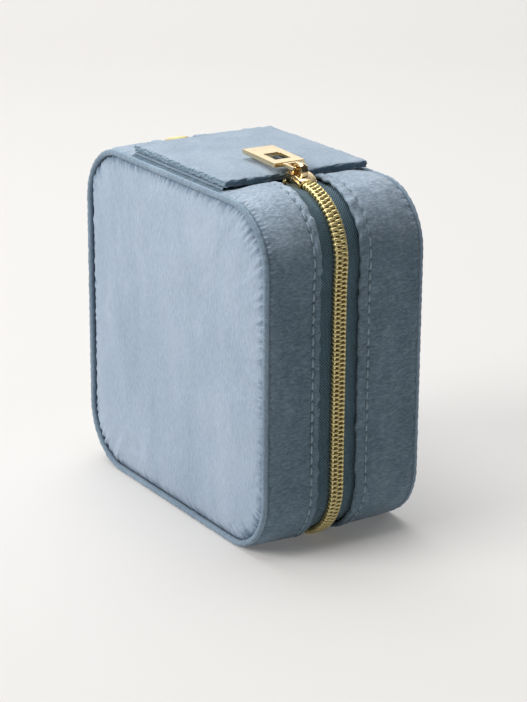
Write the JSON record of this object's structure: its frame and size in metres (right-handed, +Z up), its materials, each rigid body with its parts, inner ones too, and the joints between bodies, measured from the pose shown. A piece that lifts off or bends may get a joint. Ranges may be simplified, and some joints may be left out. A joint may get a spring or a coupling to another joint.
{
  "type": "travel jewelry case",
  "caption": "Square zip-round velvet travel jewelry case that opens like a book on a spine flap, with ring rolls, compartments, a mirror and gold zip sliders.",
  "frame": {"origin": "centre of the bounding box at the surface that the case stands on", "axes": "+Z up with the case standing on its edge and the spine flap on top; X across the thickness, with the deeper base half at +X; the front slider is towards -Y"},
  "size_m": [0.052, 0.109, 0.1066],
  "materials": {
    "velvet": "short light blue velvet with soft nap streaks",
    "velvet_side": "the same velvet, dusty blue, seen against the nap",
    "velvet_trim": "velvet-covered piping and hems",
    "zip_tape": "woven teal-blue twill tape",
    "zip_coil": "pale gold plated coil",
    "gold_metal": "polished light gold plating",
    "board": "grey-brown board",
    "foam": "white polyester wadding",
    "glue_tape": "ivory double-sided tape",
    "lining_velvet": "fine light blue velveteen lining",
    "mirror": "silvered glass"
  },
  "bodies": {
    "base": {"base_shell": "board", "base_side_cover": "velvet_side", "base_face_foam": "foam", "base_face_cover": "velvet", "base_piping": "velvet_trim", "base_zip_tape": "zip_tape", "base_zip_coil": "zip_coil", "base_zip_stops": "gold_metal", "base_lining": "lining_velvet", "ring_roll_card": "board", "ring_roll_1": "lining_velvet", "ring_roll_2": "lining_velvet", "ring_roll_3": "lining_velvet", "ring_roll_4": "lining_velvet", "ring_roll_5": "lining_velvet", "ring_roll_6": "lining_velvet", "divider_long": "lining_velvet", "divider_cross_lower": "lining_velvet", "divider_cross_upper": "lining_velvet", "spine_bond": "glue_tape", "spine_board": "board", "spine_cover": "velvet"},
    "lid": {"lid_shell": "board", "lid_side_cover": "velvet_side", "lid_face_foam": "foam", "lid_face_cover": "velvet", "lid_piping": "velvet_trim", "lid_zip_tape": "zip_tape", "lid_zip_coil": "zip_coil", "lid_zip_stops": "gold_metal", "lid_lining": "lining_velvet", "hinge_cloth": "velvet_trim", "mirror_backing": "board", "mirror_glass": "mirror", "mirror_frame": "lining_velvet"},
    "front_slider": {"front_slider": "gold_metal"},
    "front_pull": {"front_pull": "gold_metal"},
    "rear_slider": {"rear_slider": "gold_metal"},
    "rear_pull": {"rear_pull": "gold_metal"}
  },
  "joints": [
    {"name": "lid_hinge", "type": "hinge", "parent": "base", "child": "lid", "pos_m": [-0.0235, -0.0035, 0.1005], "axis": [0, 1, 0], "range_deg": [0, 95], "deforming": ["lid_zip_tape", "lid_zip_coil"]},
    {"name": "front_slider_travel", "type": "hinge", "parent": "base", "child": "front_slider", "pos_m": [-0.0022, -0.0355, 0.082], "axis": [1, 0, 0], "range_deg": [0, 90]},
    {"name": "front_pull_swing", "type": "hinge", "parent": "front_slider", "child": "front_pull", "pos_m": [-0.0022, -0.03323, 0.10496], "axis": [1, 0, 0], "range_deg": [-3, 182]},
    {"name": "rear_slider_travel", "type": "hinge", "parent": "base", "child": "rear_slider", "pos_m": [-0.0022, 0.0285, 0.082], "axis": [-1, 0, 0], "range_deg": [-62, 22]},
    {"name": "rear_pull_swing", "type": "hinge", "parent": "rear_slider", "child": "rear_pull", "pos_m": [-0.0022, 0.0483, 0.09355], "axis": [1, 0, 0], "range_deg": [0, 193]}
  ]
}
